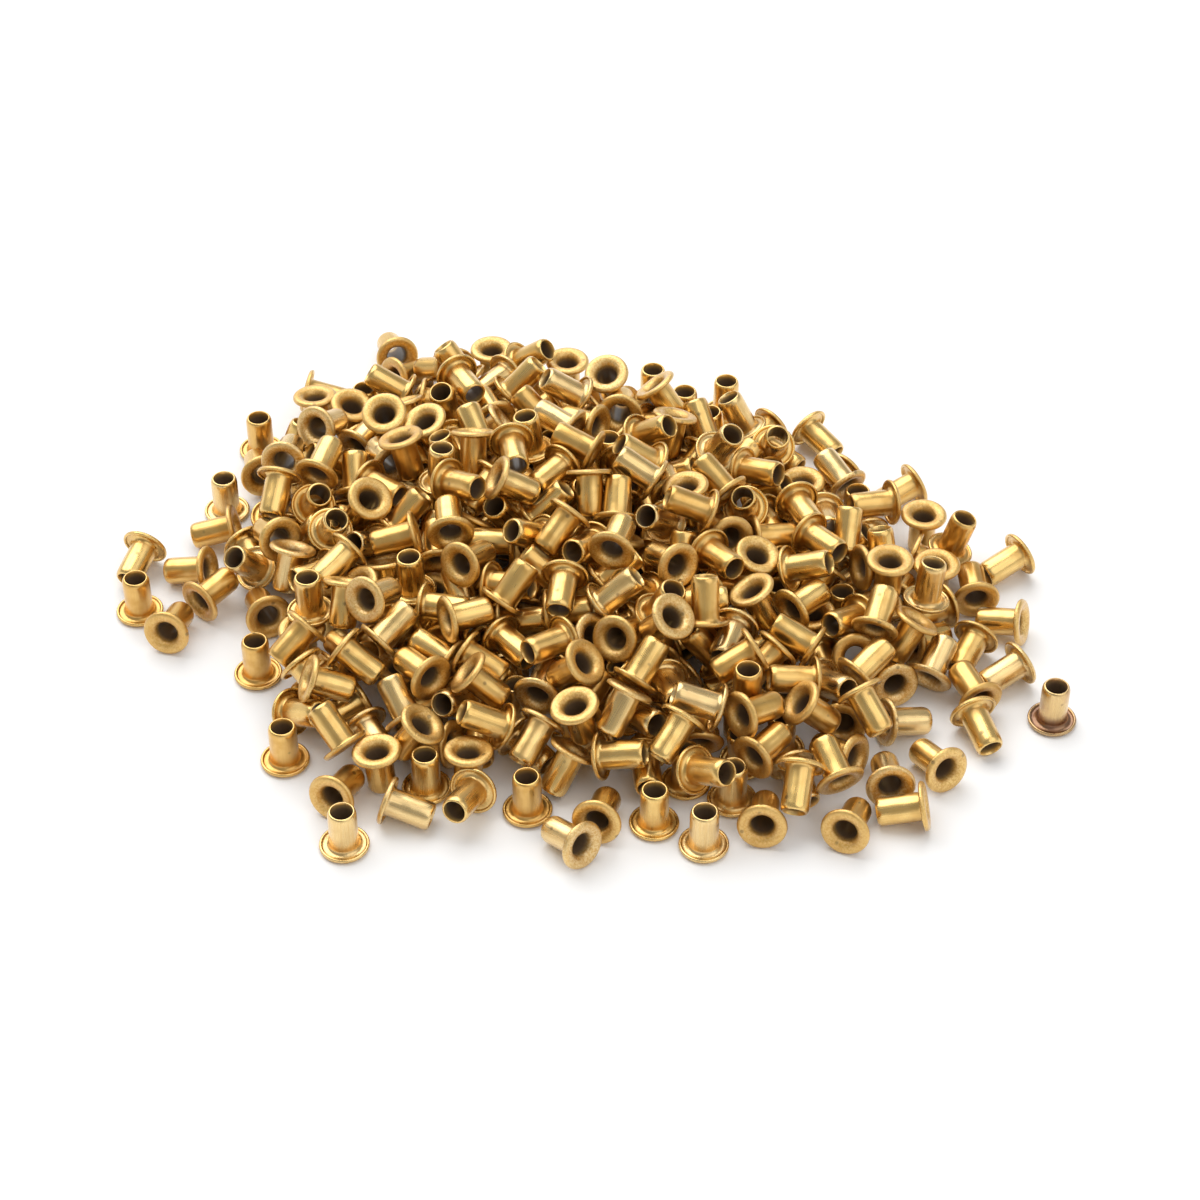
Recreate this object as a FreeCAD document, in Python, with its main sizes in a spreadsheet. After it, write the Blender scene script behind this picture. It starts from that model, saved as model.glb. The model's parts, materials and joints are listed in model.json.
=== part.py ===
import FreeCAD, Part
import math
import os
import random

import Sketcher

# A poured heap of loose brass eyelets.  All lengths are in millimetres, +Z is up, and the heap rests
# on the plane Z = 0 with the origin under its middle.  Every eyelet is the same turned-over tube: a
# barrel with a rounded mouth at one end and a funnel-faced flange at the other.

# Sizes of one eyelet.
BARREL_DIA = 3.0
BORE_DIA = 2.3
LENGTH = 5.2
FLANGE_DIA = 5.2
THROAT = 0.85       # radius of the funnel between bore and flange face
CROWN_WIDTH = 0.2   # flat ring that the flange face stands on
MOUTH_ROUND = 0.3

# The envelope used to keep eyelets apart: a disc and a rod, each grown by a rounding radius.
BARREL_R = BARREL_DIA / 2
FLANGE_R = FLANGE_DIA / 2
SHEET = (BARREL_DIA - BORE_DIA) / 2
CROWN_IN = BORE_DIA / 2 + THROAT
CROWN_OUT = CROWN_IN + CROWN_WIDTH
ROLL_R = FLANGE_R - CROWN_OUT    # the flange's edge rolls back on this radius
FLANGE_H = ROLL_R + SHEET / 2
RIM_ROUND = 0.28
RIM_CORE = FLANGE_R - RIM_ROUND
RIM_H = FLANGE_H / 2
RIM_HALF = RIM_H - RIM_ROUND
MOUTH_CORE = BARREL_R - MOUTH_ROUND
MOUTH_H = LENGTH - MOUTH_ROUND
GAP = 0.08          # least distance between two eyelets at rest
LIFT_GAP = 0.02     # and while one of them is lifted
BALANCE_H = 2.1     # height of an eyelet's centre of mass above its flange face
MIDDLE_H = 2.4      # centre of the ball, of radius REACH, that holds an eyelet
REACH = 3.6

# The heap.  OUTLINE is its radius at every 15 degrees, counter-clockwise from +X.  Its height falls
# from the peak to the edge by CURVE, the power of the share of the way out.
OUTLINE = (46, 39, 34, 32, 34, 37, 36, 42, 50, 49, 47, 46, 43, 41, 40, 40, 38, 33, 35, 36, 41, 44, 43, 44)
EDGE_HEIGHT = 2.0
PEAK_HEIGHT = 10.5
CURVE = 2.2
PROUD = 3.0         # how far above that height a fallen eyelet's middle may stand
LUMPS = 1.2         # random part of the choice of the next spot to fill
FULL_ENOUGH = 1.9   # the heap is full where it lacks less than this
FIELD = 60          # half the side of the square in which eyelets fall
SEED = 11
CELL = 2.0          # grid on which the heap's height is followed
BIN = 11.0          # grid on which neighbours are found
UPRIGHT_SHARE = 0.38
UPENDED_SHARE = 0.04
FALL = 4.0          # an eyelet starts to fall this far above the heap
SETTLE_TRIES = 300
SETTLE_SLIP = 0.5
SETTLE_TIP = 0.22
CALMING = 0.93      # share of slip and tip that is gone at the last try
DROP_TRIES = 4      # times an eyelet is dropped again at a spot where it didn't fit
LIFT = 20.0         # how far a loose eyelet must rise clear of all the others
LIFT_STEP = 0.2     # steps in which that is tested
KEPT_STEP = 0.7     # steps in which the space above a loose eyelet is kept free
KEPT_COUNT = 20

# Eyelets laid by hand round the edge: node name (None for one of a group), where its middle is,
# which way up it is, and the way its mouth points in degrees from +X.
LAID = (
    ("lone_tarnished_eyelet", 48, -19, "standing", 0),
    ("front_left_lone_eyelet", -26, -37, "standing", 0),
    ("left_standing_eyelet", -51, -2, "standing", 0),
    ("left_facing_eyelet", -47, -7, "lying", 80),
    ("left_lying_eyelet", -46, 2, "lying", 175),
    ("left_tipped_eyelet", -52, 5, "tipped", 215),
    ("left_inner_facing_eyelet", -38, -4, "lying", 110),
    ("left_front_standing_eyelet", -37, -12, "standing", 0),
    ("front_left_standing_eyelet", -33, -25, "standing", 0),
    ("front_left_lying_eyelet", -20, -34, "lying", -42),
    ("front_flanged_eyelet", -3, -38, "lying", 163),
    ("front_facing_eyelet", 0, -34, "lying", 75),
    ("front_standing_eyelet", 5.5, -34, "standing", 0),
    ("front_foremost_eyelet", 10.5, -37, "standing", 0),
    ("front_right_facing_eyelet", 17, -35, "lying", 95),
    ("front_right_turned_eyelet", 25, -36, "lying", 70),
    ("front_right_lying_eyelet", 31, -34, "lying", 197),
    ("right_front_facing_eyelet", 35, -27, "lying", 115),
    ("right_tipped_eyelet", 46, 4, "tipped", 250),
    ("right_lying_eyelet", 44, -6, "lying", 165),
    ("back_right_lying_eyelet", 35, 16, "lying", 205),
    ("back_standing_eyelet", 15, 33, "standing", 0),
    ("back_left_lying_eyelet", -33, 35, "lying", -12),
    ("left_back_standing_eyelet", -43, 15, "standing", 0),
    (None, -42, -3, "lying", 40),
    (None, -27, -31, "lying", 60),
    (None, -18, -29, "standing", 0),
    (None, -15, -33, "lying", 230),
    (None, 14, -31, "standing", 0),
    (None, 10, -29, "standing", 0),
    (None, 21, -31, "lying", 262),
    (None, 39, -22, "tipped", 250),
    (None, 44, -15, "tipped", 255),
    (None, 42, -1, "lying", 85),
    (None, 26, 25, "tipped", 300),
    (None, 18, 27, "lying", 200),
    (None, 10, 31, "standing", 0),
    (None, -8, 34, "standing", 0),
    (None, -13, 34, "lying", 0),
    (None, -24, 38, "lying", 40),
    (None, -40, 26, "standing", 0),
    (None, -33, 26, "standing", 0),
    (None, -33, 20, "standing", 0),
    (None, -39, 20, "lying", 70),
)
TILT = {"standing": 0, "lying": 80, "tipped": 135}   # how far the mouth is turned down from upright
LAY_TRIES = 30       # positions tried, ever further off, for each of them
LAY_SHIFT = 0.06     # how much further off each time
LAY_FALL = 6.0
LAY_SETTLE_TRIES = 200
LAY_SLIP = 0.1
LAY_TIP = 0.05
FLOOR_LEVEL = 3.2    # the middle of one on the floor is lower than this
MIDDLE_LEVEL = 6.2   # and that of one in the middle layer than this
SIDES = (-15, 15)    # X at which the heap is split into left, centre and right
ROWS = (-13, 12)     # Y at which it is split into front, mid and back
CREST_COUNT = 6      # loose eyelets on top of the heap
CREST_SPACING = 9.0


def unit(x, y, z):
    """The unit vector along x, y, z."""
    size = math.sqrt(x * x + y * y + z * z)
    return (x / size, y / size, z / size)


def across(a):
    """Two unit vectors square to a and to each other."""
    if abs(a[2]) < 0.9:
        u = unit(-a[1], a[0], 0.0)
    else:
        u = unit(0.0, -a[2], a[1])
    v = (a[1] * u[2] - a[2] * u[1], a[2] * u[0] - a[0] * u[2], a[0] * u[1] - a[1] * u[0])
    return u, v


def circle(count):
    """Cosine and sine at count even steps round a circle."""
    steps = [2 * math.pi * i / count for i in range(count)]
    return [(math.cos(t), math.sin(t)) for t in steps]


RIM_STEPS = circle(24)
MOUTH_STEPS = circle(14)


class Eyelet:
    """The pose of one eyelet: p is the middle of its flange face, a its axis towards the mouth."""

    def __init__(self, p, a):
        self.p = p
        self.a = a
        self.middle = self.along(MIDDLE_H)
        self.rim_middle = self.along(RIM_H)
        self.mouth_middle = self.along(MOUTH_H)
        self.rim_ring = None
        self.mouth_ring = None

    def along(self, height):
        """The point of the axis at a height above the flange face."""
        p, a = self.p, self.a
        return (p[0] + height * a[0], p[1] + height * a[1], p[2] + height * a[2])

    def ring(self, middle, radius, steps):
        """Points round the axis at middle."""
        u, v = across(self.a)
        x, y, z = middle
        return [
            (x + radius * (c * u[0] + s * v[0]), y + radius * (c * u[1] + s * v[1]),
             z + radius * (c * u[2] + s * v[2]))
            for c, s in steps
        ]

    def rim(self):
        """Points round the core of the flange's rim."""
        if self.rim_ring is None:
            self.rim_ring = self.ring(self.rim_middle, RIM_CORE, RIM_STEPS)
        return self.rim_ring

    def mouth(self):
        """Points round the core of the mouth's edge."""
        if self.mouth_ring is None:
            self.mouth_ring = self.ring(self.mouth_middle, MOUTH_CORE, MOUTH_STEPS)
        return self.mouth_ring

    def lowest(self):
        """Height of the lowest point of the envelope."""
        slope = math.sqrt(max(0.0, 1.0 - self.a[2] ** 2))
        rim = self.rim_middle[2] - RIM_CORE * slope - RIM_HALF * abs(self.a[2]) - RIM_ROUND
        mouth = self.mouth_middle[2] - MOUTH_CORE * slope - MOUTH_ROUND
        return min(rim, mouth)

    def moved(self, dz, dx=0.0, dy=0.0):
        """The same eyelet dz higher, and moved aside by dx and dy."""
        return Eyelet((self.p[0] + dx, self.p[1] + dy, self.p[2] + dz), self.a)

    def span(self, k):
        """The least and greatest coordinate of the envelope along X (k = 0) or Y (k = 1)."""
        slope = math.sqrt(max(0.0, 1.0 - self.a[k] ** 2))
        rim = RIM_CORE * slope + RIM_ROUND
        mouth = MOUTH_CORE * slope + MOUTH_ROUND
        low = min(self.rim_middle[k] - rim, self.mouth_middle[k] - mouth)
        high = max(self.rim_middle[k] + rim, self.mouth_middle[k] + mouth)
        return low, high


def ball_meets(q, radius, e, gap):
    """Whether a ball at q comes within gap of eyelet e."""
    p, a = e.p, e.a
    dx, dy, dz = q[0] - p[0], q[1] - p[1], q[2] - p[2]
    h = dx * a[0] + dy * a[1] + dz * a[2]
    r = math.sqrt(max(0.0, dx * dx + dy * dy + dz * dz - h * h))
    out = max(0.0, r - MOUTH_CORE)
    end = max(0.0, h - MOUTH_H, RIM_H - h)
    limit = MOUTH_ROUND + radius + gap
    if out * out + end * end < limit * limit:
        return True
    out = max(0.0, r - RIM_CORE)
    end = max(0.0, abs(h - RIM_H) - RIM_HALF)
    limit = RIM_ROUND + radius + gap
    return out * out + end * end < limit * limit


def barrels_cross(e, f, gap):
    """Whether two barrels come within gap of each other somewhere between their ends."""
    p, a, q, b = e.p, e.a, f.p, f.a
    w = (p[0] - q[0], p[1] - q[1], p[2] - q[2])
    ab = a[0] * b[0] + a[1] * b[1] + a[2] * b[2]
    skew = 1.0 - ab * ab
    if skew < 1e-9:
        return False
    aw = a[0] * w[0] + a[1] * w[1] + a[2] * w[2]
    bw = b[0] * w[0] + b[1] * w[1] + b[2] * w[2]
    s = (ab * bw - aw) / skew
    t = (bw - ab * aw) / skew
    if not (0 <= s <= LENGTH and 0 <= t <= LENGTH):
        return False
    apart = [w[i] + s * a[i] - t * b[i] for i in range(3)]
    limit = 2 * BARREL_R + gap
    return apart[0] ** 2 + apart[1] ** 2 + apart[2] ** 2 < limit * limit


def edges_meet(e, f, gap):
    """Whether e's rim or mouth comes within gap of f."""
    if ball_meets(e.rim_middle, FLANGE_R, f, gap):
        if any(ball_meets(q, RIM_ROUND, f, gap) for q in e.rim()):
            return True
    if ball_meets(e.mouth_middle, BARREL_R, f, gap):
        if any(ball_meets(q, MOUTH_ROUND, f, gap) for q in e.mouth()):
            return True
    return False


def eyelets_meet(e, f, gap):
    """Whether two eyelets come within gap of each other."""
    m, n = e.middle, f.middle
    if (m[0] - n[0]) ** 2 + (m[1] - n[1]) ** 2 + (m[2] - n[2]) ** 2 > 4 * REACH * REACH:
        return False
    return barrels_cross(e, f, gap) or edges_meet(e, f, gap) or edges_meet(f, e, gap)


def blocked(e, others, gap=GAP):
    """Whether e meets the floor or any of the others; the one it meets moves to the front."""
    if e.lowest() < 0:
        return True
    for i, f in enumerate(others):
        if eyelets_meet(e, f, gap):
            others.insert(0, others.pop(i))
            return True
    return False


def lowered(e, others, step, finest):
    """e moved straight down until something stops it."""
    while step > finest:
        f = e.moved(-step)
        if blocked(f, others):
            step /= 2
        else:
            e = f
    return e


def settled(e, others, rng, tries, slip, tip):
    """e dropped, then slipped and tipped at random wherever that lowers its weight."""
    while blocked(e, others):
        e = e.moved(1.0)
    e = lowered(e, others, 1.6, 0.02)
    x, y, level = e.along(BALANCE_H)
    for i in range(tries):
        fade = 1.0 - CALMING * i / tries
        turn = [rng.gauss(0, tip * fade) for _ in range(3)]
        a = unit(e.a[0] + turn[0], e.a[1] + turn[1], e.a[2] + turn[2])
        c = (
            x + rng.gauss(0, slip * fade),
            y + rng.gauss(0, slip * fade),
            level - abs(rng.gauss(0, 0.4 * slip * fade)),
        )
        f = Eyelet(tuple(c[k] - BALANCE_H * a[k] for k in range(3)), a)
        if not blocked(f, others):
            e = f
            x, y, level = c
    return lowered(e, others, 0.1, 0.004)


class Heap:
    """The eyelets placed so far, with grids of neighbours and of height."""

    def __init__(self):
        self.eyelets = []
        self.free = []
        self.bins = {}
        self.heights = {}

    def near(self, x, y):
        """Everything that an eyelet at x, y could meet."""
        i, j = int(x // BIN), int(y // BIN)
        blocks = [(i + di, j + dj) for di in (-1, 0, 1) for dj in (-1, 0, 1)]
        return [e for block in blocks for e in self.bins.get(block, ())]

    def keep(self, e):
        """Make e something that later eyelets can meet."""
        block = (int(e.middle[0] // BIN), int(e.middle[1] // BIN))
        self.bins.setdefault(block, []).append(e)

    def add(self, e, free=False):
        """Place e.  If free, the space above it is kept as well."""
        self.eyelets.append(e)
        self.keep(e)
        if free:
            self.free.append(e)
            for step in range(1, KEPT_COUNT + 1):
                self.keep(e.moved(KEPT_STEP * step))
        slope = math.sqrt(max(0.0, 1.0 - e.a[2] ** 2))
        for k in range(9):
            radius = BARREL_R if k else FLANGE_R
            x, y, z = e.along(LENGTH * k / 8)
            self.raise_to(x, y, radius + 0.4, z + 0.7 * radius * slope)

    def raise_to(self, x, y, radius, z):
        """Note that the heap reaches height z within radius of x, y."""
        span = int(radius / CELL) + 1
        for i in range(-span, span + 1):
            for j in range(-span, span + 1):
                cell = (int(x // CELL) + i, int(y // CELL) + j)
                away = math.hypot((cell[0] + 0.5) * CELL - x, (cell[1] + 0.5) * CELL - y)
                if away < radius:
                    self.heights[cell] = max(z, self.heights.get(cell, 0.0))

    def height(self, x, y):
        """The heap's height at x, y."""
        return self.heights.get((int(x // CELL), int(y // CELL)), 0.0)

    def lifts_past(self, e, others):
        """Whether e can rise straight up past the others."""
        others = [f for f in others if math.dist(f.middle[:2], e.middle[:2]) < 2 * REACH]
        steps = int(LIFT / LIFT_STEP) if others else 0
        return not any(blocked(e.moved(LIFT_STEP * k), others, LIFT_GAP) for k in range(1, steps + 1))

    def free_to_lift(self, e):
        """Whether e can rise straight up past all the others."""
        return self.lifts_past(e, [f for f in self.eyelets if f is not e])

    def takes(self, f):
        """Whether f meets nothing, and every eyelet that must stay free can still rise."""
        if blocked(f, self.near(*f.middle[:2])):
            return False
        return all(self.lifts_past(e, [f]) for e in self.free)


def outline_radius(angle):
    """Radius of the heap's footprint at an angle in radians."""
    t = angle / (2 * math.pi) * len(OUTLINE) % len(OUTLINE)
    i = int(t)
    return OUTLINE[i] + (t - i) * (OUTLINE[(i + 1) % len(OUTLINE)] - OUTLINE[i])


def wanted_height(x, y):
    """Height that the heap is filled to at x, y."""
    share = math.hypot(x, y) / (outline_radius(math.atan2(y, x)) - BARREL_R)
    if share > 1:
        return 0.0
    return EDGE_HEIGHT + (PEAK_HEIGHT - EDGE_HEIGHT) * (1 - share ** CURVE)


def in_heap(e):
    """Whether a fallen eyelet stayed inside the outline and no higher than the heap should be."""
    x, y, z = e.middle
    return math.hypot(x, y) < outline_radius(math.atan2(y, x)) and z < wanted_height(x, y) + PROUD


def random_axis(rng):
    """An axis for a falling eyelet: often flange down, now and then flange up, else any way."""
    kind = rng.random()
    if kind < UPRIGHT_SHARE:
        return unit(rng.gauss(0, 0.15), rng.gauss(0, 0.15), 1.0)
    if kind < UPRIGHT_SHARE + UPENDED_SHARE:
        return unit(rng.gauss(0, 0.3), rng.gauss(0, 0.3), -1.0)
    return unit(rng.gauss(0, 1), rng.gauss(0, 1), rng.gauss(0, 0.8))


def lay_by_hand(heap, rng):
    """Place the LAID eyelets, and return the named ones."""
    named = {}
    for name, x, y, kind, heading in LAID:
        tilt, turn = math.radians(TILT[kind]), math.radians(heading)
        a = unit(math.sin(tilt) * math.cos(turn), math.sin(tilt) * math.sin(turn), math.cos(tilt))
        for attempt in range(LAY_TRIES):
            shift = LAY_SHIFT * attempt
            at = (x + rng.uniform(-shift, shift), y + rng.uniform(-shift, shift))
            start = Eyelet((at[0] - MIDDLE_H * a[0], at[1] - MIDDLE_H * a[1], LAY_FALL), a)
            if kind == "standing":
                e = start.moved(-start.lowest())
                if blocked(e, heap.near(*at)):
                    continue
            else:
                e = settled(start, heap.near(*at), rng, LAY_SETTLE_TRIES, LAY_SLIP, LAY_TIP)
            fits = e.middle[2] < FLOOR_LEVEL and heap.takes(e)
            if fits and (name is None or heap.free_to_lift(e)):
                break
        else:
            raise RuntimeError("no room for an eyelet at %s, %s" % (x, y))
        heap.add(e, name is not None)
        if name:
            named[name] = e
    return named


def dropped(heap, rng, x, y):
    """Drop one eyelet near x, y, and say whether it stayed."""
    x += rng.uniform(-0.5, 0.5) * CELL
    y += rng.uniform(-0.5, 0.5) * CELL
    a = random_axis(rng)
    start = Eyelet((x - MIDDLE_H * a[0], y - MIDDLE_H * a[1], heap.height(x, y) + FALL), a)
    e = settled(start, heap.near(x, y), rng, SETTLE_TRIES, SETTLE_SLIP, SETTLE_TIP)
    fits = in_heap(e) and heap.takes(e)
    if fits:
        heap.add(e)
    return fits


def fill(heap, rng):
    """Drop eyelets wherever the heap is furthest below its wanted height."""
    reach = range(-int(FIELD / CELL), int(FIELD / CELL))
    spots = [((i + 0.5) * CELL, (j + 0.5) * CELL) for i in reach for j in reach]
    spots = [(x, y, wanted_height(x, y)) for x, y in spots if wanted_height(x, y) > 0]
    while True:
        lack, x, y = max((z - heap.height(x, y) + rng.uniform(0, LUMPS), x, y) for x, y, z in spots)
        if lack < FULL_ENOUGH:
            return
        if not any(dropped(heap, rng, x, y) for attempt in range(DROP_TRIES)):
            heap.raise_to(x, y, 0.5 * CELL, wanted_height(x, y))


def crest_eyelets(heap, named):
    """The highest eyelets that are free to lift and well apart, by name."""
    crest = []
    for e in sorted(heap.eyelets, key=lambda e: -e.middle[2]):
        apart = all(math.dist(e.middle, f.middle) > CREST_SPACING for f in crest)
        if len(crest) < CREST_COUNT and apart and e not in named.values() and heap.free_to_lift(e):
            crest.append(e)
    return {"crest_eyelet_%d" % (i + 1): e for i, e in enumerate(crest)}


def group_name(e):
    """The node of an eyelet that isn't a node of its own: its layer and its part of the heap."""
    x, y, z = e.middle
    layer = "floor" if z < FLOOR_LEVEL else "middle" if z < MIDDLE_LEVEL else "top"
    side = "left" if x < SIDES[0] else "right" if x > SIDES[1] else "centre"
    row = "front" if y < ROWS[0] else "back" if y > ROWS[1] else "mid"
    return "%s_layer_%s_%s" % (layer, row, side)


def centred(nodes):
    """The nodes moved aside so that the origin is under the middle of the heap's box."""
    shift = []
    for k in range(2):
        spans = [e.span(k) for eyelets in nodes.values() for e in eyelets]
        shift.append(-(min(low for low, high in spans) + max(high for low, high in spans)) / 2)
    return {name: [e.moved(0.0, *shift) for e in eyelets] for name, eyelets in nodes.items()}


def plan_nodes():
    """Every node's name with the poses of its eyelets."""
    rng = random.Random(SEED)
    heap = Heap()
    nodes = lay_by_hand(heap, rng)
    fill(heap, rng)
    for name, e in nodes.items():
        if not heap.free_to_lift(e):
            raise RuntimeError("%s can't be lifted" % name)
    nodes.update(crest_eyelets(heap, nodes))
    alone = list(nodes.values())
    nodes = {name: [e] for name, e in nodes.items()}
    for e in heap.eyelets:
        if e not in alone:
            nodes.setdefault(group_name(e), []).append(e)
    return centred(nodes)


def add_sheet(doc):
    """The sheet of driving sizes."""
    sizes = (
        ("barrel_dia", BARREL_DIA),
        ("bore_dia", BORE_DIA),
        ("overall_length", LENGTH),
        ("flange_dia", FLANGE_DIA),
        ("throat_radius", THROAT),
        ("crown_width", CROWN_WIDTH),
        ("mouth_round", MOUTH_ROUND),
    )
    sheet = doc.addObject("Spreadsheet::Sheet", "Sizes")
    for row, (alias, value) in enumerate(sizes, 1):
        sheet.set("A%d" % row, alias)
        sheet.set("B%d" % row, str(value))
        sheet.setAlias("B%d" % row, alias)
    doc.recompute()
    return sheet


def arc(x, y, radius, start, end):
    """A sketch arc, with its angles in degrees."""
    whole = Part.Circle(FreeCAD.Vector(x, y, 0), FreeCAD.Vector(0, 0, 1), radius)
    return Part.ArcOfCircle(whole, math.radians(start), math.radians(end))


def line(x0, y0, x1, y1):
    """A sketch line."""
    return Part.LineSegment(FreeCAD.Vector(x0, y0, 0), FreeCAD.Vector(x1, y1, 0))


def draw_profile(sketch):
    """The eyelet's half section, radius across and height up, with its sizes bound to the sheet."""
    bore = BORE_DIA / 2
    throat = sketch.addGeometry(arc(CROWN_IN, THROAT, THROAT, 180, 270))
    crown = sketch.addGeometry(line(CROWN_IN, 0, CROWN_OUT, 0))
    edge = sketch.addGeometry(arc(CROWN_OUT, ROLL_R, ROLL_R, 270, 360))
    tip = sketch.addGeometry(arc(FLANGE_R - SHEET / 2, ROLL_R, SHEET / 2, 0, 180))
    under = sketch.addGeometry(arc(CROWN_OUT, ROLL_R, ROLL_R - SHEET, 270, 360))
    valley = sketch.addGeometry(line(CROWN_OUT, SHEET, CROWN_IN, SHEET))
    foot = sketch.addGeometry(arc(CROWN_IN, THROAT, THROAT - SHEET, 180, 270))
    wall = sketch.addGeometry(line(BARREL_R, THROAT, BARREL_R, MOUTH_H))
    lip = sketch.addGeometry(arc(MOUTH_CORE, MOUTH_H, MOUTH_ROUND, 0, 90))
    land = sketch.addGeometry(line(MOUTH_CORE, LENGTH, bore, LENGTH))
    inside = sketch.addGeometry(line(bore, LENGTH, bore, THROAT))
    joins = (
        (throat, 2, crown, 1), (crown, 2, edge, 1), (edge, 2, tip, 1), (tip, 2, under, 2),
        (under, 1, valley, 1), (valley, 2, foot, 2), (foot, 1, wall, 1), (wall, 2, lip, 1),
        (lip, 2, land, 1), (land, 2, inside, 1), (inside, 2, throat, 1),
        (throat, 3, foot, 3), (edge, 3, under, 3),
    )
    for join in joins:
        sketch.addConstraint(Sketcher.Constraint("Coincident", *join))
    for level in (crown, valley, land):
        sketch.addConstraint(Sketcher.Constraint("Horizontal", level))
    for upright in (wall, inside):
        sketch.addConstraint(Sketcher.Constraint("Vertical", upright))
    aligned = (
        ("Vertical", throat, 3, throat, 2), ("Horizontal", throat, 3, throat, 1),
        ("Vertical", edge, 3, edge, 1), ("Horizontal", edge, 3, edge, 2),
        ("Horizontal", tip, 3, tip, 1), ("Horizontal", tip, 3, tip, 2),
        ("Vertical", under, 3, under, 1), ("Vertical", foot, 3, foot, 2),
        ("Horizontal", foot, 3, foot, 1),
        ("Horizontal", lip, 3, lip, 1), ("Vertical", lip, 3, lip, 2),
    )
    for rule in aligned:
        sketch.addConstraint(Sketcher.Constraint(*rule))
    sketch.addConstraint(Sketcher.Constraint("PointOnObject", crown, 1, -1))
    sizes = (
        ("bore_r", ("DistanceX", -1, 1, inside, 2), bore, "Sizes.bore_dia / 2"),
        ("flange_r", ("DistanceX", -1, 1, edge, 2), FLANGE_R, "Sizes.flange_dia / 2"),
        ("crown_w", ("DistanceX", crown, 1, crown, 2), CROWN_WIDTH, "Sizes.crown_width"),
        ("throat_h", ("DistanceY", -1, 1, inside, 2), THROAT, "Sizes.throat_radius"),
        ("tip_r", ("Radius", tip), SHEET / 2, "(Sizes.barrel_dia - Sizes.bore_dia) / 4"),
        ("lip_r", ("Radius", lip), MOUTH_ROUND, "Sizes.mouth_round"),
        ("length", ("DistanceY", -1, 1, land, 2), LENGTH, "Sizes.overall_length"),
    )
    for name, rule, value, formula in sizes:
        index = sketch.addConstraint(Sketcher.Constraint(*rule, value))
        sketch.renameConstraint(index, name)
        sketch.setExpression("Constraints." + name, formula)


def add_master(doc):
    """The eyelet that every other one copies, standing on its flange at the origin."""
    body = doc.addObject("PartDesign::Body", "MasterEyelet")
    sketch = body.newObject("Sketcher::SketchObject", "HalfSection")
    sketch.AttachmentSupport = [(body.Origin.OriginFeatures[4], "")]
    sketch.MapMode = "FlatFace"
    draw_profile(sketch)
    turn = body.newObject("PartDesign::Revolution", "Turned")
    turn.Profile = sketch
    turn.ReferenceAxis = (sketch, ["V_Axis"])
    turn.Angle = 360
    doc.recompute()
    return body


def placement(e):
    """Where an eyelet's pose puts the master."""
    turn = FreeCAD.Rotation(FreeCAD.Vector(0, 0, 1), FreeCAD.Vector(*e.a))
    return FreeCAD.Placement(FreeCAD.Vector(*e.p), turn)


def add_node(doc, master, name, eyelets):
    """One node: a compound of links to the master."""
    links = []
    for i, e in enumerate(eyelets):
        link = doc.addObject("App::Link", "%s_piece_%d" % (name, i + 1))
        link.LinkedObject = master
        link.Placement = placement(e)
        links.append(link)
    node = doc.addObject("Part::Compound", name)
    node.Label = name
    node.Links = links
    return node


def check(obj):
    """Stop if an object didn't compute or has a bad shape."""
    if "Invalid" in obj.State or "Error" in obj.State:
        raise RuntimeError("%s is %s" % (obj.Label, obj.State))
    if hasattr(obj, "Shape") and (obj.Shape.isNull() or not obj.Shape.isValid()):
        raise RuntimeError("%s has no valid shape" % obj.Label)


def main():
    """Build the heap and write one file per node."""
    doc = FreeCAD.newDocument("EyeletHeap")
    add_sheet(doc)
    master = add_master(doc)
    nodes = [add_node(doc, master, name, eyelets) for name, eyelets in plan_nodes().items()]
    doc.recompute()
    for obj in doc.Objects:
        check(obj)
    os.makedirs("parts", exist_ok=True)
    for node in nodes:
        node.Shape.exportStep("parts/%s.step" % node.Label)
        print(node.Label, len(node.Shape.Solids))
    print("nodes", len(nodes), "eyelets", sum(len(node.Shape.Solids) for node in nodes))


main()
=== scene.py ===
import json
import math
import random

import bpy
import numpy as np
from mathutils import Matrix, Vector

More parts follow.
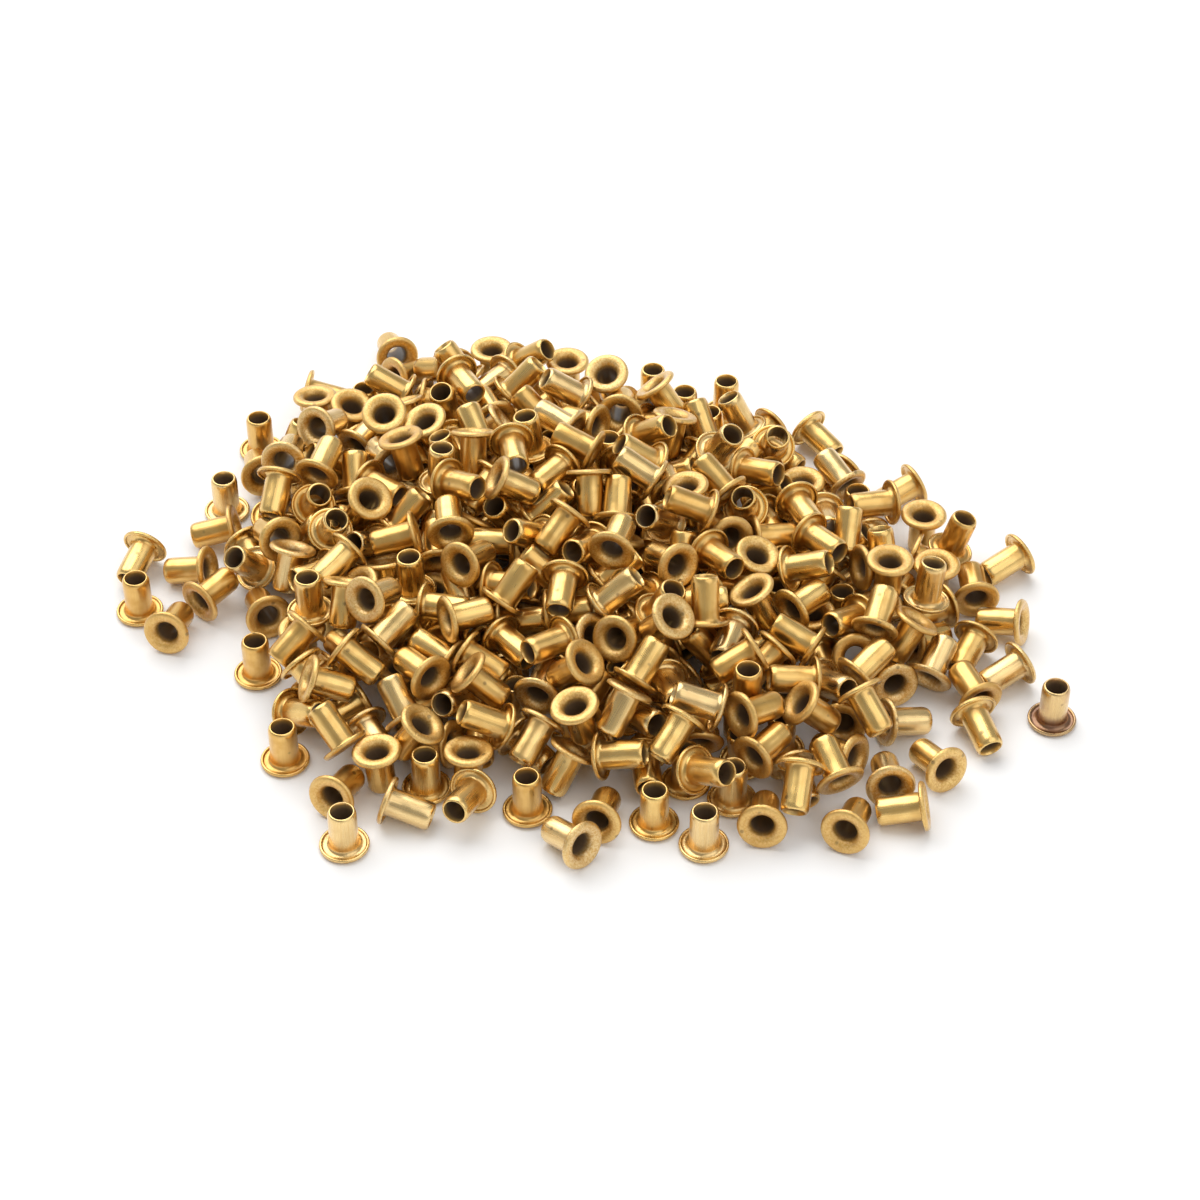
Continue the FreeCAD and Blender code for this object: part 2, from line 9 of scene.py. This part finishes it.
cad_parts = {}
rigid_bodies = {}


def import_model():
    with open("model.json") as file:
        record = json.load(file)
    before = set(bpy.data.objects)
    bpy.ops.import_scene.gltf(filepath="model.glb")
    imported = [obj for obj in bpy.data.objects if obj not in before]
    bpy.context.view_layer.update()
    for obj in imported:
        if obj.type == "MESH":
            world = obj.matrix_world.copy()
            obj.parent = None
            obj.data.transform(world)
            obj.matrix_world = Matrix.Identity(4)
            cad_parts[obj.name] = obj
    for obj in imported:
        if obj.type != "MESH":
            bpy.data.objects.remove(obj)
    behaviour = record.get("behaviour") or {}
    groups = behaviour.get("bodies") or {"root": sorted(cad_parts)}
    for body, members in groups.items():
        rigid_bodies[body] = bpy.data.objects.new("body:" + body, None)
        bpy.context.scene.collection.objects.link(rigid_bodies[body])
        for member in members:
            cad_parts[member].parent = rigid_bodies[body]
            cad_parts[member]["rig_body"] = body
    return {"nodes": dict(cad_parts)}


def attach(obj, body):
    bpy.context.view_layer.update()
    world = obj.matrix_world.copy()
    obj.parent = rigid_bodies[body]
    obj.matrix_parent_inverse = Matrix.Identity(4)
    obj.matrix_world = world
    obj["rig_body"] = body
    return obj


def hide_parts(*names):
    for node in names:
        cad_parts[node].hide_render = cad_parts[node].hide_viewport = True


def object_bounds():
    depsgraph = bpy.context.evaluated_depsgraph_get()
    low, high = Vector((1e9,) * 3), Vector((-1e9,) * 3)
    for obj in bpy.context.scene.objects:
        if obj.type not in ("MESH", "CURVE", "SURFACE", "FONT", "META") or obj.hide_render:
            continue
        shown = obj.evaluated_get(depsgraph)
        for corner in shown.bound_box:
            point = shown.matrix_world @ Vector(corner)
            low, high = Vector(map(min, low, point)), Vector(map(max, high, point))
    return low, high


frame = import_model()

CAD_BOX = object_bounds()
MM = 0.001

# One eyelet's section, in millimetres, standing on its flange face.
BORE_R = 1.15
BARREL_R = 1.5
FLANGE_R = 2.6
LENGTH = 5.2
THROAT = 0.85                     # radius of the funnel between the bore and the crown
CROWN_IN = BORE_R + THROAT        # the crown is the flat ring that the flange stands on
CROWN_OUT = CROWN_IN + 0.2
ROLL_R = FLANGE_R - CROWN_OUT     # radius of the rolled flange rim
SHEET = BARREL_R - BORE_R         # thickness of the metal
MOUTH_ROUND = 0.3                 # the mouth draws in by this much
SHOULDER = 0.7                    # and over this length
RIM_DROP = 0.04                   # the bore starts this far below the rim
BORE_RINGS = (2.9, 1.7)           # heights of the vertex rings inside the bore
FUNNEL_LIT = 0.3                  # the painted shade in the bore deepens from this depth
FUNNEL_DIM = 0.55                 # how much painted shade the funnel already has where the bore starts
AROUND = 36                       # vertices round an eyelet
SAME_PLACE = 0.002                # CAD corners this near to each other are one
SCATTER = 500                     # each eyelet's patterns start within this distance

# Colours, as linear reflectances: clean metal, worn metal and stains.
BRASS = {"pale": (0.88, 0.60, 0.205), "deep": (0.66, 0.365, 0.080), "stain": (0.11, 0.063, 0.032)}
BROWNED = {"pale": (0.78, 0.545, 0.23), "deep": (0.52, 0.30, 0.15), "stain": (0.20, 0.09, 0.05)}
FROST = (0.80, 0.72, 0.55)        # brass left matt by the press
BORE_SHADE = (0.15, 0.098, 0.062)       # painted shade deep in the bores and funnels
FLOOR = (0.96, 0.96, 0.96, 1.0)
CLEAR_COAT = (("Coat Weight", 0.6), ("Coat Roughness", 0.15), ("Coat IOR", 1.5))
DRAWN = (3.0, 3.0, 0.13)          # how the drawing lines are stretched along the barrel
DENT_DEPTH, LINE_DEPTH, GRAIN_DEPTH = 0.06 * MM, 0.014 * MM, 0.08 * MM

# The studio: strengths of the sky, the two lamps and the white wall low round the floor.
SKY, KEY, FILL, WALL = 0.36, 2.35, 0.8, 1.0
WALL_FOOT, WALL_TOP = 0.05, 0.4              # heights in the sky between which the wall fades out
KEY_PLACE, FILL_PLACE = (-0.18, 0.33, 0.52), (0.35, -0.25, 0.55)
KEY_WIDTH, FILL_WIDTH = 66, 60               # degrees
FLOOR_HALF = 30.0
FLOOR_GAP = 0.02 * MM                        # the floor stays this far below the lowest eyelet

# The camera: lens and sensor in millimetres, angle above the floor in degrees, the rest in metres.
SENSOR, LENS, PITCH, DISTANCE = 36.0, 84.0, 42.5, 0.312
AIM_OFFSET = (0.0017, -0.0024, 0.0)
NEAR, FAR = 0.01, 60.0


def arc(x, y, radius, start, end, steps):
    """Points of an arc in the section, its angles in degrees."""
    turns = [math.radians(start + (end - start) * i / steps) for i in range(steps + 1)]
    return [(x + radius * math.cos(t), y + radius * math.sin(t)) for t in turns]


def section():
    """The closed section as points in order, each with its depth and its shares of face, edge and foot."""
    funnel = arc(CROWN_IN, THROAT, THROAT, 180, 270, 7)
    roll = arc(CROWN_OUT, ROLL_R, ROLL_R, 270, 360, 4)
    tip = arc(FLANGE_R - SHEET / 2, ROLL_R, SHEET / 2, 0, 180, 4)[1:]
    under = arc(CROWN_OUT, ROLL_R, ROLL_R - SHEET, 360, 270, 2)[1:]
    foot = arc(CROWN_IN, THROAT, THROAT - SHEET, 270, 180, 4)
    wall = [(BARREL_R, THROAT + (LENGTH - SHOULDER - THROAT) * i / 3) for i in (1, 2)]
    drawn = [(r, LENGTH + (z - LENGTH) * SHOULDER / MOUTH_ROUND)
             for r, z in arc(BARREL_R - MOUTH_ROUND, LENGTH - MOUTH_ROUND, MOUTH_ROUND, 0, 90, 5)]
    shoulder, lip = drawn[:-2], drawn[-2:]
    bore = [(BORE_R, z) for z in (LENGTH - RIM_DROP, LENGTH - SHOULDER, *BORE_RINGS)]
    stretches = (
        (funnel, 1.0, 0.0, 0.0),
        (roll, 0.8, 0.5, 0.3),
        (tip, 0.0, 0.8, 0.5),
        (under, 0.0, 0.0, 1.0),
        (foot, 0.0, 0.0, 1.0),
        (wall, 0.0, 0.0, 0.0),
        (shoulder, 0.0, 0.0, 0.0),
        (lip, 0.0, 0.8, 0.0),
        (bore, 0.0, 0.0, 0.0),
    )
    points, marks = [], []
    for stretch, *shares in stretches:
        for r, z in stretch:
            # depth sets the painted shade: deeper into the bore, and in the funnel towards the bore
            depth = 0.0
            if stretch is bore:
                depth = min(LENGTH - z, z - FUNNEL_LIT)
            # painted shade in the funnel, growing towards the bore
            elif stretch is funnel:
                depth = FUNNEL_DIM * (z / THROAT) ** 2
            points.append((r, z))
            marks.append((depth, *shares))
    return points, marks


def solids(mesh):
    """The separate closed solids of a CAD mesh, each as its triangles' corners in millimetres."""
    places = np.empty(len(mesh.vertices) * 3)
    mesh.vertices.foreach_get("co", places)
    places = places.reshape(-1, 3) / MM
    corners = np.empty(len(mesh.loops), np.int64)
    mesh.loops.foreach_get("vertex_index", corners)
    cells = np.round(places / SAME_PLACE).astype(np.int64)
    shared = np.unique(cells, axis=0, return_inverse=True)[1].ravel()
    joined = shared[corners].reshape(-1, 3)
    label = np.arange(shared.max() + 1)    # each corner takes the lowest label that its solid holds
    while True:
        lowest = label[joined].min(1)
        after = label.copy()
        for side in range(3):
            np.minimum.at(after, joined[:, side], lowest)
        after = after[after]
        if (after == label).all():
            break
        label = after
    owner = label[joined[:, 0]]
    triangles = places[corners].reshape(-1, 3, 3)
    return [triangles[owner == k] for k in np.unique(owner)]


def pose_of(triangles):
    """The middle of an eyelet's flange face and its axis towards the mouth, from how its surface lies."""
    sides = triangles[:, 1:] - triangles[:, :1]
    area = np.linalg.norm(np.cross(sides[:, 0], sides[:, 1]), axis=1)[:, None]
    middles = triangles.mean(1)
    centre = (area * middles).sum(0) / area.sum()
    spread = 9 * (area * (middles - centre)).T @ (middles - centre)
    for side in range(3):
        corner = triangles[:, side] - centre
        spread += (area * corner).T @ corner
    axis = np.linalg.eigh(spread)[1][:, 2]
    corner = triangles.reshape(-1, 3) - centre
    along = corner @ axis
    widest = np.argmax((corner * corner).sum(1) - along * along)
    if along[widest] > 0:
        axis, along = -axis, -along
    return centre + axis * along.min(), axis


class Shader:
    """A material's node tree, with short calls for the nodes used here."""

    def __init__(self, name):
        self.material = bpy.data.materials.new(name)
        self.material.use_nodes = True
        self.tree = self.material.node_tree
        self.shader = self.tree.nodes["Principled BSDF"]

    def join(self, source, target):
        """Link a node's output, or set a plain value, to an input."""
        if isinstance(source, bpy.types.NodeSocket):
            self.tree.links.new(source, target)
        else:
            target.default_value = source

    def attribute(self, name, output):
        node = self.tree.nodes.new("ShaderNodeAttribute")
        node.attribute_name = name
        return node.outputs[output]

    def math(self, operation, a, b=0.0, clamp=False):
        node = self.tree.nodes.new("ShaderNodeMath")
        node.operation = operation
        node.use_clamp = clamp
        self.join(a, node.inputs[0])
        self.join(b, node.inputs[1])
        return node.outputs[0]

    def ramp(self, value, low, high, to_low=0.0, to_high=1.0):
        """value carried smoothly from low..high to to_low..to_high."""
        node = self.tree.nodes.new("ShaderNodeMapRange")
        node.interpolation_type = "SMOOTHSTEP"
        self.join(value, node.inputs["Value"])
        for key, v in (("From Min", low), ("From Max", high), ("To Min", to_low), ("To Max", to_high)):
            self.join(v, node.inputs[key])
        return node.outputs["Result"]

    def stretched(self, vector, scale):
        node = self.tree.nodes.new("ShaderNodeMapping")
        self.join(vector, node.inputs["Vector"])
        node.inputs["Scale"].default_value = scale
        return node.outputs[0]

    def noise(self, vector, scale, detail, roughness=0.5):
        node = self.tree.nodes.new("ShaderNodeTexNoise")
        self.join(vector, node.inputs["Vector"])
        node.inputs["Scale"].default_value = scale
        node.inputs["Detail"].default_value = detail
        node.inputs["Roughness"].default_value = roughness
        return node.outputs[0]

    def specks(self, vector, scale):
        """Distance from scattered points."""
        node = self.tree.nodes.new("ShaderNodeTexVoronoi")
        self.join(vector, node.inputs["Vector"])
        node.inputs["Scale"].default_value = scale
        return node.outputs["Distance"]

    def mix(self, share, a, b):
        node = self.tree.nodes.new("ShaderNodeMix")
        node.data_type = "RGBA"
        self.join(share, node.inputs["Factor"])
        for value, socket in ((a, node.inputs[6]), (b, node.inputs[7])):
            self.join(value if isinstance(value, bpy.types.NodeSocket) else (*value, 1.0), socket)
        return node.outputs[2]

    def bump(self, height, depth, normal=None):
        """The surface raised by height, 0 to 1, times depth in metres."""
        node = self.tree.nodes.new("ShaderNodeBump")
        node.inputs["Strength"].default_value = 1.0
        node.inputs["Distance"].default_value = depth
        self.join(height, node.inputs["Height"])
        if normal is not None:
            self.join(normal, node.inputs["Normal"])
        return node.outputs[0]


def brass(name, pale, deep, stain, age, grime):
    """Drawn brass: satin barrels with lengthwise lines, frosted flange faces, and bores and funnels
    darkened by painted shade.
    """
    s = Shader(name)
    local = s.attribute("local", "Vector")
    face = s.attribute("face", "Fac")
    edge = s.attribute("edge", "Fac")
    foot = s.attribute("foot", "Fac")
    tone = s.attribute("tone", "Fac")
    # inside is the share of painted shade in the bore and funnel
    inside = s.ramp(s.attribute("depth", "Fac"), 0.0, 1.0)
    barrel = s.math("SUBTRACT", 1.0, face)
    lines = s.noise(s.stretched(local, DRAWN), 1.5, 3.0, 0.6)
    grain = s.noise(local, 4.2, 4.0, 0.75)
    clouds = s.noise(local, 0.55, 3.0)
    dents = s.noise(local, 0.6, 1.0)
    spots = s.ramp(s.specks(local, 0.42), 0.05, 0.13, 1.0, 0.0)

    # Wear comes in clouds, differs from eyelet to eyelet and gathers behind the flange.
    worn = s.math("MULTIPLY", s.ramp(clouds, 0.42, 0.75), age)
    worn = s.math("ADD", worn, s.ramp(tone, 0.35, 1.0, 0.0, 0.5))
    worn = s.math("ADD", worn, s.math("MULTIPLY", foot, 0.2), True)
    colour = s.mix(worn, pale, deep)

    # The freshest third of the eyelets, and a little of every flange face, is frosted.
    frosted = [0.5 * p + 0.5 * q for p, q in zip(pale, FROST)]
    bare = s.math("ADD", s.ramp(tone, 0.0, 0.3, 0.5, 0.0), s.math("MULTIPLY", face, 0.1), True)
    colour = s.mix(bare, colour, frosted)

    # Drawing lines, pits in the flange face, rubbed edges, spots, grime behind the flange, painted shade
    # in the bore and funnel.
    pits = s.math("MULTIPLY", s.ramp(grain, 0.44, 0.54, 1.0, 0.0), s.math("MULTIPLY", face, 0.8))
    behind = s.math("MULTIPLY", s.math("MULTIPLY", foot, age), grime)
    colour = s.mix(s.math("MULTIPLY", s.ramp(lines, 0.35, 0.75), 0.3), colour, deep)
    colour = s.mix(pits, colour, deep)
    colour = s.mix(s.math("MULTIPLY", edge, 0.4), colour, pale)
    colour = s.mix(s.math("MULTIPLY", spots, 0.55), colour, stain)
    colour = s.mix(behind, colour, stain)
    # Painted shade: the colour darkens with depth in the bore and funnel, and the metal is made less
    # metallic there
    colour = s.mix(s.math("MULTIPLY", inside, 0.95), colour, BORE_SHADE)
    s.join(colour, s.shader.inputs["Base Color"])
    s.join(s.math("SUBTRACT", 1.0, s.math("MULTIPLY", inside, 0.85)), s.shader.inputs["Metallic"])
    for socket, value in CLEAR_COAT:
        s.shader.inputs[socket].default_value = value

    # Satin barrels; rougher on the face, where worn and in the bore, smoother on rubbed edges.
    rough = s.ramp(lines, 0.2, 0.8, 0.22, 0.35)
    rough = s.math("ADD", rough, s.math("MULTIPLY", face, 0.06))
    rough = s.math("ADD", rough, s.math("MULTIPLY", worn, 0.08))
    rough = s.math("SUBTRACT", rough, s.math("MULTIPLY", edge, 0.05))
    rough = s.math("ADD", rough, s.math("MULTIPLY", inside, 0.25), True)
    s.join(rough, s.shader.inputs["Roughness"])

    relief = s.bump(s.math("MULTIPLY", dents, barrel), DENT_DEPTH)
    relief = s.bump(s.math("MULTIPLY", lines, barrel), LINE_DEPTH, relief)
    relief = s.bump(s.math("MULTIPLY", grain, face), GRAIN_DEPTH, relief)
    s.join(relief, s.shader.inputs["Normal"])
    return s.material


def turned():
    """One eyelet about the Z axis: its vertices, its quads, and every vertex's four marks."""
    points, marks = section()
    count = len(points)
    turn = np.array([
        (math.cos(2 * math.pi * k / AROUND), math.sin(2 * math.pi * k / AROUND)) for k in range(AROUND)
    ])
    r, z = (np.array(column) for column in zip(*points))
    vertices = np.empty((count, AROUND, 3))
    vertices[:, :, 0] = r[:, None] * turn[None, :, 0]
    vertices[:, :, 1] = r[:, None] * turn[None, :, 1]
    vertices[:, :, 2] = z[:, None]
    quads = np.array([
        (i * AROUND + k, i * AROUND + (k + 1) % AROUND, (i + 1) % count * AROUND + (k + 1) % AROUND,
         (i + 1) % count * AROUND + k)
        for i in range(count) for k in range(AROUND)
    ])
    return vertices.reshape(-1, 3), quads[:, ::-1], [np.repeat(column, AROUND) for column in zip(*marks)]


def quad_mesh(name, vertices, quads):
    """A smooth mesh of these vertices, in metres, and quads."""
    mesh = bpy.data.meshes.new(name)
    mesh.vertices.add(len(vertices))
    mesh.vertices.foreach_set("co", vertices.ravel())
    mesh.loops.add(quads.size)
    mesh.loops.foreach_set("vertex_index", quads.ravel())
    mesh.polygons.add(len(quads))
    mesh.polygons.foreach_set("loop_start", np.arange(0, quads.size, 4))
    mesh.update(calc_edges=True)
    mesh.validate()
    mesh.shade_smooth()
    return mesh


def add_eyelets(name, node, rng, material):
    """One piece with a finely turned eyelet in place of each solid of a CAD node."""
    eyelet, ring_quads, (depth, face, edge, foot) = turned()
    places, quads, local, tones = [], [], [], []
    for triangles in solids(node.data):
        base, axis = pose_of(triangles)
        spin = Vector((0, 0, 1)).rotation_difference(Vector(axis)).to_matrix()
        spin = np.array(spin @ Matrix.Rotation(rng.uniform(0, 2 * math.pi), 3, "Z"))
        quads.append(ring_quads + len(places) * len(eyelet))
        places.append((eyelet @ spin.T + base) * MM)
        local.append(eyelet + [rng.uniform(0, SCATTER) for _ in range(3)])
        tones.append(np.full(len(eyelet), rng.random()))
    total = len(places)
    mesh = quad_mesh(name, np.concatenate(places), np.concatenate(quads))
    for key, kind, values in (
        ("local", "FLOAT_VECTOR", np.concatenate(local)),
        ("depth", "FLOAT", np.tile(depth, total)),
        ("face", "FLOAT", np.tile(face, total)),
        ("edge", "FLOAT", np.tile(edge, total)),
        ("foot", "FLOAT", np.tile(foot, total)),
        ("tone", "FLOAT", np.concatenate(tones)),
    ):
        layer = mesh.attributes.new(key, kind, "POINT")
        layer.data.foreach_set("vector" if kind == "FLOAT_VECTOR" else "value", values.ravel())
    mesh.materials.append(material)
    piece = bpy.data.objects.new(name, mesh)
    bpy.context.scene.collection.objects.link(piece)
    return piece


def soft_sun(name, place, strength, width):
    """A lamp far off beyond place, as wide as that angle in degrees, lighting everything alike."""
    light = bpy.data.lights.new(name, "SUN")
    light.energy = strength
    light.angle = math.radians(width)
    lamp = bpy.data.objects.new(name, light)
    lamp.rotation_euler = (-Vector(place)).to_track_quat("-Z", "Y").to_euler()
    bpy.context.scene.collection.objects.link(lamp)


def add_floor(low):
    """A wide pale floor just under the heap."""
    corners = [(x * FLOOR_HALF, y * FLOOR_HALF, 0) for x, y in ((-1, -1), (1, -1), (1, 1), (-1, 1))]
    mesh = bpy.data.meshes.new("floor")
    mesh.from_pydata(corners, [], [(0, 1, 2, 3)])
    ground = bpy.data.objects.new("floor", mesh)
    ground.location.z = low.z - FLOOR_GAP
    bpy.context.scene.collection.objects.link(ground)
    s = Shader("floor")
    s.shader.inputs["Base Color"].default_value = FLOOR
    s.shader.inputs["Roughness"].default_value = 0.9
    mesh.materials.append(s.material)


def add_sky():
    """A soft white sky that brightens into a white wall towards the floor."""
    world = bpy.data.worlds.new("studio")
    bpy.context.scene.world = world
    world.use_nodes = True
    tree = world.node_tree
    sky = tree.nodes["Background"]
    sky.inputs["Color"].default_value = (1.0, 1.0, 1.0, 1.0)
    ways = tree.nodes.new("ShaderNodeTexCoord")
    height = tree.nodes.new("ShaderNodeSeparateXYZ")
    tree.links.new(ways.outputs["Generated"], height.inputs[0])
    fade = tree.nodes.new("ShaderNodeMapRange")
    fade.interpolation_type = "SMOOTHSTEP"
    tree.links.new(height.outputs["Z"], fade.inputs["Value"])
    for key, v in (("From Min", WALL_FOOT), ("From Max", WALL_TOP), ("To Min", WALL), ("To Max", SKY)):
        fade.inputs[key].default_value = v
    tree.links.new(fade.outputs["Result"], sky.inputs["Strength"])


def add_camera(low, high):
    """The camera, looking down on the middle of the heap from the front."""
    camera = bpy.data.cameras.new("camera")
    camera.sensor_width = SENSOR
    camera.lens = LENS
    camera.clip_start, camera.clip_end = NEAR, FAR
    eye = bpy.data.objects.new("camera", camera)
    pitch = math.radians(PITCH)
    aim = Vector((0.5 * (low.x + high.x), 0.5 * (low.y + high.y), 0.0)) + Vector(AIM_OFFSET)
    eye.location = aim + DISTANCE * Vector((0, -math.cos(pitch), math.sin(pitch)))
    eye.rotation_euler = (math.pi / 2 - pitch, 0, 0)
    bpy.context.scene.collection.objects.link(eye)
    bpy.context.scene.camera = eye


def main():
    """Dress the heap, light it and look at it."""
    rng = random.Random(5)
    fresh = brass("brass", **BRASS, age=0.5, grime=0.15)
    tarnished = brass("tarnished_brass", **BROWNED, age=1.0, grime=0.85)
    for name, node in sorted(frame["nodes"].items()):
        dull = name == "lone_tarnished_eyelet"
        piece = add_eyelets(name + "_turned", node, rng, tarnished if dull else fresh)
        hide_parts(name)
        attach(piece, node["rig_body"])
    low, high = CAD_BOX
    add_floor(low)
    add_sky()
    soft_sun("key", KEY_PLACE, KEY, KEY_WIDTH)
    soft_sun("fill", FILL_PLACE, FILL, FILL_WIDTH)
    add_camera(low, high)
    bpy.context.scene.view_settings.view_transform = "Standard"


main()
